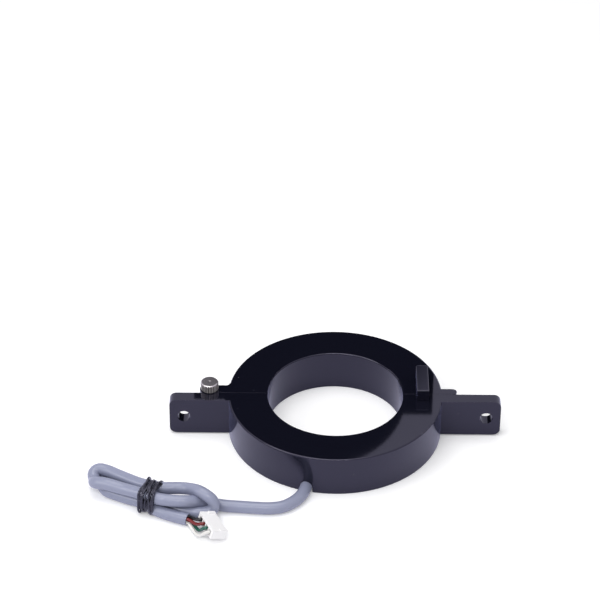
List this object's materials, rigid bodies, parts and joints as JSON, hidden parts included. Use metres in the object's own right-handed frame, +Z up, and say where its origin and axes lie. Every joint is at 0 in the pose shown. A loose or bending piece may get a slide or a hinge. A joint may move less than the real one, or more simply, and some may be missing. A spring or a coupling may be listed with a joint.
{
  "type": "split ring current sensor",
  "caption": "Hinged split-ring current sensor that closes round a conductor, with a thumbscrew latch, side mounting ears and a tied signal cable ending in a crimp connector.",
  "frame": {"origin": "on the ring's axis at the base that it lies on", "axes": "+Z up along the ring's axis, +X along the split towards the hinge, +Y from the front half with the ears towards the rear half that swings open"},
  "size_m": [0.1505, 0.108, 0.0202],
  "materials": {
    "case_plastic": "mirror-gloss top, satin sides, injection moulded",
    "potting_resin": "poured resin, slightly uneven gloss",
    "core_steel": "wound strip, ground ends",
    "chip_plastic": "matt moulding compound",
    "board_laminate": "solder mask",
    "capacitor_ceramic": "fired ceramic",
    "pin_steel": "drawn wire",
    "nickel_plate": "dull nickel, straight knurl",
    "insert_brass": "turned",
    "cable_jacket": "soft satin extruded jacket",
    "tie_plastic": "plastic-covered wire, glossy",
    "black_insulation": "extruded insulation",
    "red_insulation": "extruded insulation",
    "green_insulation": "extruded insulation",
    "white_insulation": "extruded insulation",
    "connector_plastic": "natural nylon, satin",
    "contact_tin": "tin plate"
  },
  "bodies": {
    "front_half": {"front_case": "case_plastic", "front_potting": "potting_resin", "front_core_left": "core_steel", "front_core_right": "core_steel", "hall_element": "chip_plastic", "sensor_board": "board_laminate", "amplifier_chip": "chip_plastic", "board_capacitors": "capacitor_ceramic", "hinge_pin": "pin_steel", "threaded_insert": "insert_brass", "cable_lead": "cable_jacket", "cable_hank": "cable_jacket", "cable_tie": "tie_plastic", "black_wire": "black_insulation", "red_wire": "red_insulation", "green_wire": "green_insulation", "white_wire": "white_insulation", "connector_housing": "connector_plastic", "connector_contacts": "contact_tin"},
    "rear_half": {"rear_case": "case_plastic", "rear_potting": "potting_resin", "rear_core": "core_steel"},
    "latch_screw": {"thumbscrew": "nickel_plate"}
  },
  "joints": [
    {"name": "ring_hinge", "type": "hinge", "parent": "front_half", "child": "rear_half", "pos_m": [0.0434, 0.00168, 0], "axis": [0, 0, -1], "range_deg": [0, 110]},
    {"name": "latch_screw_turn", "type": "hinge", "parent": "front_half", "child": "latch_screw", "pos_m": [-0.0465, 0.0023, 0], "axis": [0, 0, 1], "continuous": true}
  ]
}
